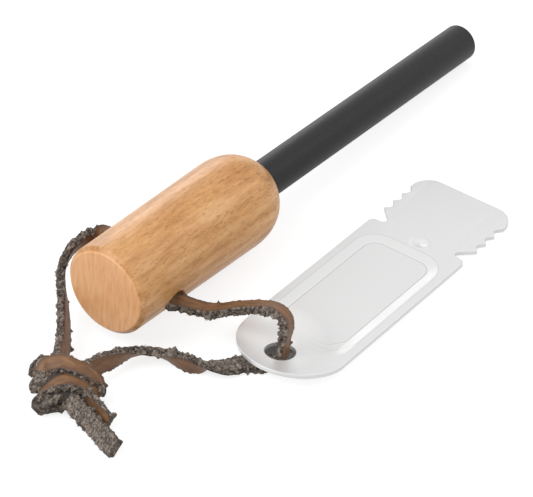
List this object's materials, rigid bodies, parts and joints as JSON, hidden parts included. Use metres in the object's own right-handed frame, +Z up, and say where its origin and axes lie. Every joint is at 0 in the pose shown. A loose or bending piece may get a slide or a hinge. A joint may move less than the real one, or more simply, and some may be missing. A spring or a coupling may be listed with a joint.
{
  "type": "ferro rod fire starter",
  "caption": "Ferrocerium rod in a turned beech handle, with a pressed steel striker tied on by a knotted leather lace.",
  "frame": {"origin": "on the ground, under the middle of the box round the handle, rod and striker", "axes": "+X along the handle towards the rod's tip, +Y from the striker towards the rod, +Z up from the ground"},
  "size_m": [0.1439, 0.0558, 0.0215],
  "materials": {
    "beech": "fine-turned beech, lightly oiled, with short dark flecks along the grain",
    "ferrocerium": "dull charcoal grey, with a thin dark coating",
    "glue": "set epoxy, hidden in the bore",
    "striker_steel": "pressed stainless sheet, softly polished",
    "leather": "brown grain side, grey fuzzy flesh side and cut edges"
  },
  "bodies": {
    "root": {"handle": "beech", "ferro_rod": "ferrocerium", "rod_glue": "glue", "lace_in_handle": "leather", "lace_over_striker": "leather", "lace_under_striker": "leather", "lace_round_butt": "leather", "lace_knot": "leather", "lace_end_front": "leather", "lace_end_back": "leather"},
    "lace_bight": {"lace_in_striker": "leather"},
    "striker": {"striker": "striker_steel"}
  },
  "joints": [
    {"name": "striker_swing", "type": "hinge", "parent": "root", "child": "lace_bight", "pos_m": [-0.0436, -0.01515, 0], "axis": [0, 0, 1], "range_deg": [-90, 10]},
    {"name": "striker_lift", "type": "hinge", "parent": "lace_bight", "child": "striker", "pos_m": [-0.05056, -0.01425, 0.00344], "axis": [0, -1, 0], "range_deg": [0, 15]}
  ]
}
